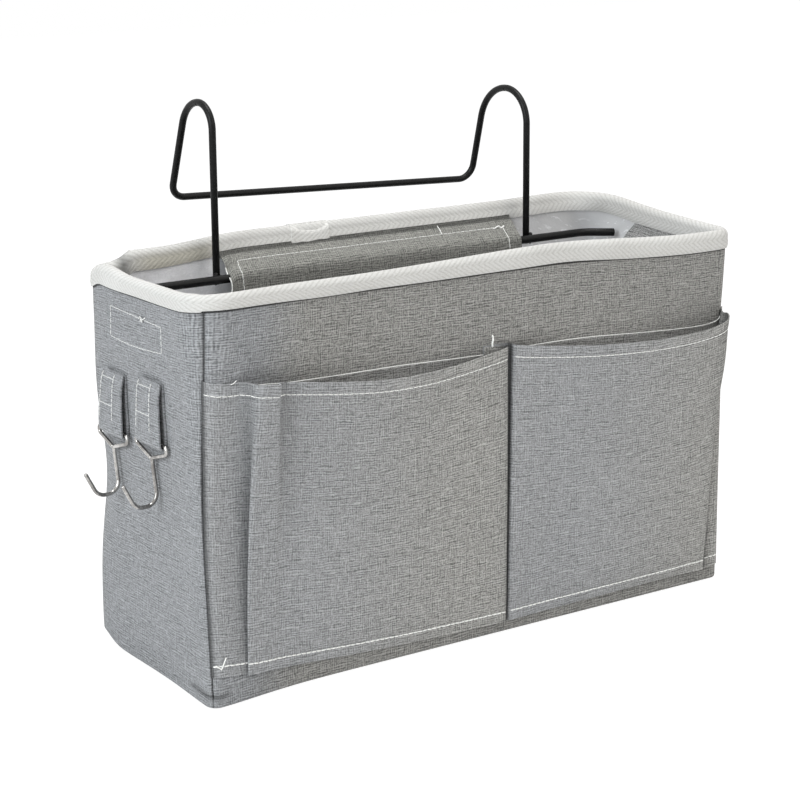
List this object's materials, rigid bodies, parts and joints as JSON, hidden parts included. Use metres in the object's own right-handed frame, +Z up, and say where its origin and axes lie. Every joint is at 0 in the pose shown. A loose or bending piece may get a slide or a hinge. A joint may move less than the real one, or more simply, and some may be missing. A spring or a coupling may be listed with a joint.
{
  "type": "bedside caddy",
  "caption": "Open cloth basket with stiffened walls, a taped rim, front pockets and side hooks, hung on a bed rail by a folding wire bracket that an inner flap holds.",
  "frame": {"origin": "middle of the basket's base, on the surface it stands on", "axes": "+X to the right along the basket's width, +Y to the back (the bed side), +Z up; the pockets face -Y"},
  "size_m": [0.3743, 0.1786, 0.2952],
  "materials": {
    "grey_cloth": "matt woven linen-cotton in mid grey with pale slubs",
    "pale_lining": "thin coated lining with a slight sheen, pale lavender grey",
    "binding_tape": "off-white herringbone twill tape",
    "stiffener": "plain stiffening board, unseen",
    "fastener": "hook-and-loop tape",
    "black_wire": "black paint, satin",
    "hook_steel": "bright bent steel wire"
  },
  "bodies": {
    "basket": {"front_outer_panel": "grey_cloth", "back_outer_panel": "grey_cloth", "left_outer_panel": "grey_cloth", "right_outer_panel": "grey_cloth", "bottom_outer_panel": "grey_cloth", "front_stiffener_board": "stiffener", "back_stiffener_board": "stiffener", "left_stiffener_board": "stiffener", "right_stiffener_board": "stiffener", "bottom_stiffener_board": "stiffener", "front_lining": "pale_lining", "back_lining": "pale_lining", "left_lining": "grey_cloth", "right_lining": "grey_cloth", "bottom_lining": "pale_lining", "rim_binding": "binding_tape", "left_pocket": "grey_cloth", "right_pocket": "grey_cloth", "side_patch": "binding_tape", "wall_loop_tape": "fastener", "hook_tab_rear": "grey_cloth", "hook_tab_front": "grey_cloth"},
    "bracket": {"bracket_frame": "black_wire", "bracket_bar": "black_wire"},
    "flap": {"retaining_flap": "grey_cloth", "flap_hook_tape": "fastener"},
    "hook_rear": {"wire_hook_rear": "hook_steel"},
    "hook_front": {"wire_hook_front": "hook_steel"}
  },
  "joints": [
    {"name": "bracket_fold", "type": "hinge", "parent": "basket", "child": "bracket", "pos_m": [0.0043, 0.042, 0.1982], "axis": [1, 0, 0], "range_deg": [0, 180]},
    {"name": "flap_open", "type": "hinge", "parent": "basket", "child": "flap", "pos_m": [0.0043, 0.056, 0.2032], "axis": [-1, 0, 0], "range_deg": [0, 80]},
    {"name": "rear_hook_swing", "type": "hinge", "parent": "basket", "child": "hook_rear", "pos_m": [-0.1776, 0.031, 0.127], "axis": [0, 1, 0], "range_deg": [0, 100]},
    {"name": "front_hook_swing", "type": "hinge", "parent": "basket", "child": "hook_front", "pos_m": [-0.1776, -0.012, 0.1305], "axis": [0, 1, 0], "range_deg": [0, 100]}
  ]
}
